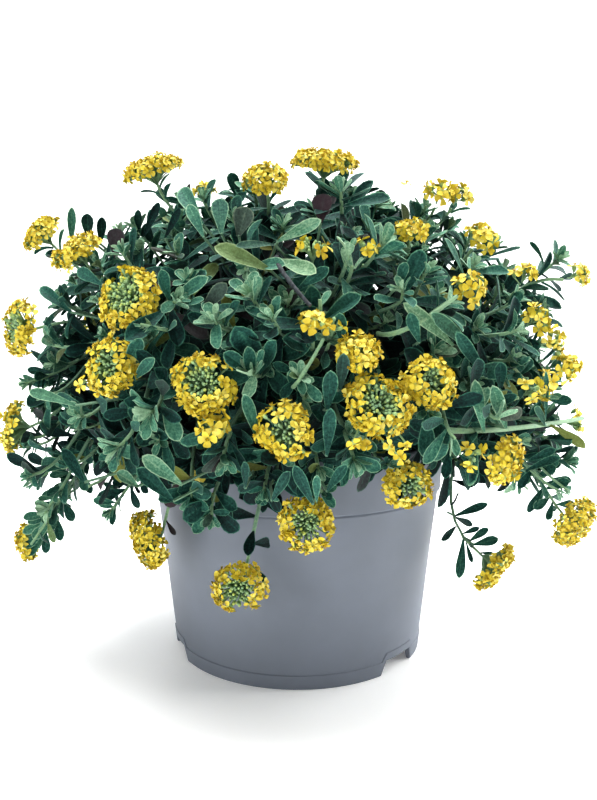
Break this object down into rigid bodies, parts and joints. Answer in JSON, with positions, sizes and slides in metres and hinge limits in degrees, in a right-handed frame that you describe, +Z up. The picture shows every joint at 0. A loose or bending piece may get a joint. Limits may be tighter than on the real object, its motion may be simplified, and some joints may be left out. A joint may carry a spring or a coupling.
{
  "type": "potted yellow mountain alyssum",
  "caption": "Low, mounded perennial with felted grey-green leaves and domed heads of small yellow four-petalled flowers, growing in a round tapered plastic pot.",
  "frame": {"origin": "centre of the pot's foot, on the surface that it stands on", "axes": "+Z up along the pot's axis, -Y towards the front of the plant, +X to the right seen from the front"},
  "size_m": [0.2519, 0.2463, 0.2148],
  "materials": {
    "pot": "satin",
    "soil": "matte",
    "foliage": "matte",
    "petals": "matte"
  },
  "bodies": {
    "root": {"pot": "pot", "soil": "soil", "branch_left": "foliage", "branch_front_left": "foliage", "branch_front": "foliage", "branch_front_right": "foliage", "branch_right": "foliage", "branch_back_right": "foliage", "branch_back_far_right": "foliage", "branch_back_far_left": "foliage", "branch_back_left": "foliage", "branch_centre_left": "foliage", "branch_centre_right": "foliage", "bloom_top_left": "petals", "bloom_crown_small": "petals", "bloom_crown_front": "petals", "bloom_crown": "petals", "bloom_left_high": "petals", "bloom_left_upper": "petals", "bloom_front_left_ring": "petals", "bloom_left_edge": "petals", "bloom_left_ring": "petals", "bloom_front_left": "petals", "bloom_front_loose": "petals", "bloom_left_low": "petals", "bloom_left_hanging": "petals", "bloom_pot_low": "petals", "bloom_pot_middle": "petals", "bloom_front_middle": "petals", "bloom_front_big": "petals", "bloom_front_upper": "petals", "bloom_front_right": "petals", "bloom_rim_right": "petals", "bloom_right_hanging": "petals", "bloom_right_drooping": "petals", "bloom_right_low": "petals", "bloom_right_sparse": "petals", "bloom_right_chain": "petals", "bloom_right_loose": "petals", "bloom_right_inner": "petals", "bloom_right_edge_high": "petals", "bloom_right_high": "petals", "bloom_right_upper": "petals", "bloom_right_top": "petals", "bloom_flat_right": "petals", "bloom_front_bud": "petals", "bloom_front_sparse": "petals", "bloom_top_right": "petals", "bloom_right_far": "petals", "bloom_left_far": "petals", "bloom_behind_leaves": "petals", "bloom_back_right": "petals", "bloom_back_right_low": "petals", "bloom_back_high": "petals", "bloom_back_middle": "petals", "bloom_back_left_high": "petals", "bloom_back_left_low": "petals", "bloom_back_left": "petals", "floret_top_right": "petals", "floret_rim_left": "petals"}
  },
  "joints": []
}
